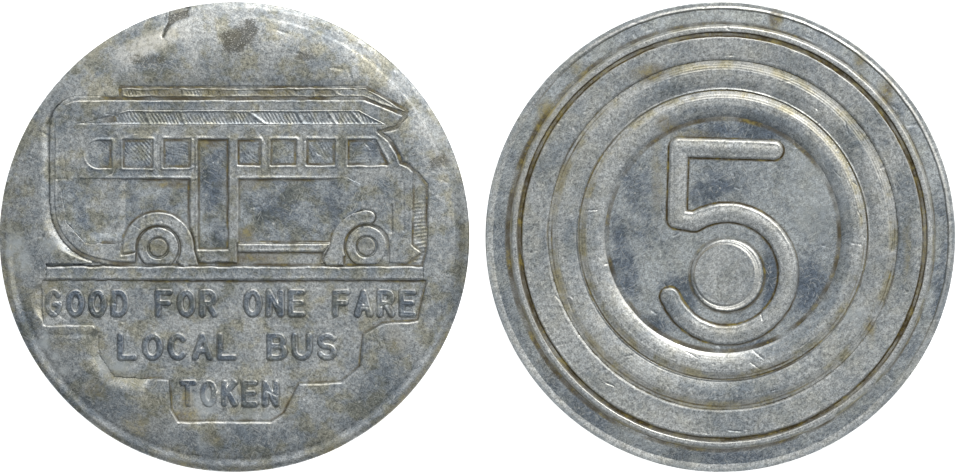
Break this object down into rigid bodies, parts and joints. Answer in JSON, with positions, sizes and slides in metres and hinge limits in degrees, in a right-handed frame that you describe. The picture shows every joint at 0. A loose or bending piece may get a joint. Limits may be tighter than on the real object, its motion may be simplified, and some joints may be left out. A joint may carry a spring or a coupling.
{
  "type": "transit token",
  "caption": "Struck metal transit token: a motor bus over a stepped legend panel on one side, a numeral inside concentric raised rings on the other.",
  "frame": {"origin": "centre of the underside, which is the bus side", "axes": "+Z out of the numeral side, +Y towards the top of both designs, +X to the right of the numeral side"},
  "size_m": [0.026, 0.026, 0.0018],
  "materials": {
    "struck_metal": "struck, evenly worn, grey oxide mottling and fine scratches",
    "worn_relief": "smooth relief, polished bright at its edges by handling",
    "dark_patina": "blue-grey oxide in the sunken flats",
    "soiled_relief": "fine hatching filled with olive dirt"
  },
  "bodies": {
    "root": {"blank": "struck_metal", "bus_side_field": "struck_metal", "bus_panel": "struck_metal", "legend_panel": "struck_metal", "ground_line": "worn_relief", "bus_body": "struck_metal", "roof_rail": "soiled_relief", "letter_board": "worn_relief", "rear_window": "dark_patina", "saloon_window_1": "dark_patina", "saloon_window_2": "dark_patina", "saloon_window_3": "dark_patina", "saloon_window_4": "dark_patina", "saloon_window_5": "dark_patina", "driver_window": "dark_patina", "door_panel": "dark_patina", "rear_side_panel": "dark_patina", "front_side_panel": "dark_patina", "rear_mudguard": "worn_relief", "rear_tyre": "worn_relief", "rear_hub": "worn_relief", "front_mudguard": "worn_relief", "front_tyre": "worn_relief", "front_hub": "worn_relief", "running_board": "worn_relief", "legend_line_1": "dark_patina", "legend_line_2": "dark_patina", "legend_line_3": "dark_patina", "centre_field": "dark_patina", "inner_ring": "worn_relief", "middle_ring": "struck_metal", "outer_ring": "struck_metal", "bead_ring": "worn_relief", "rim_band": "dark_patina", "edge_lip": "worn_relief", "numeral_five": "worn_relief", "target_boss": "worn_relief"}
  },
  "joints": []
}
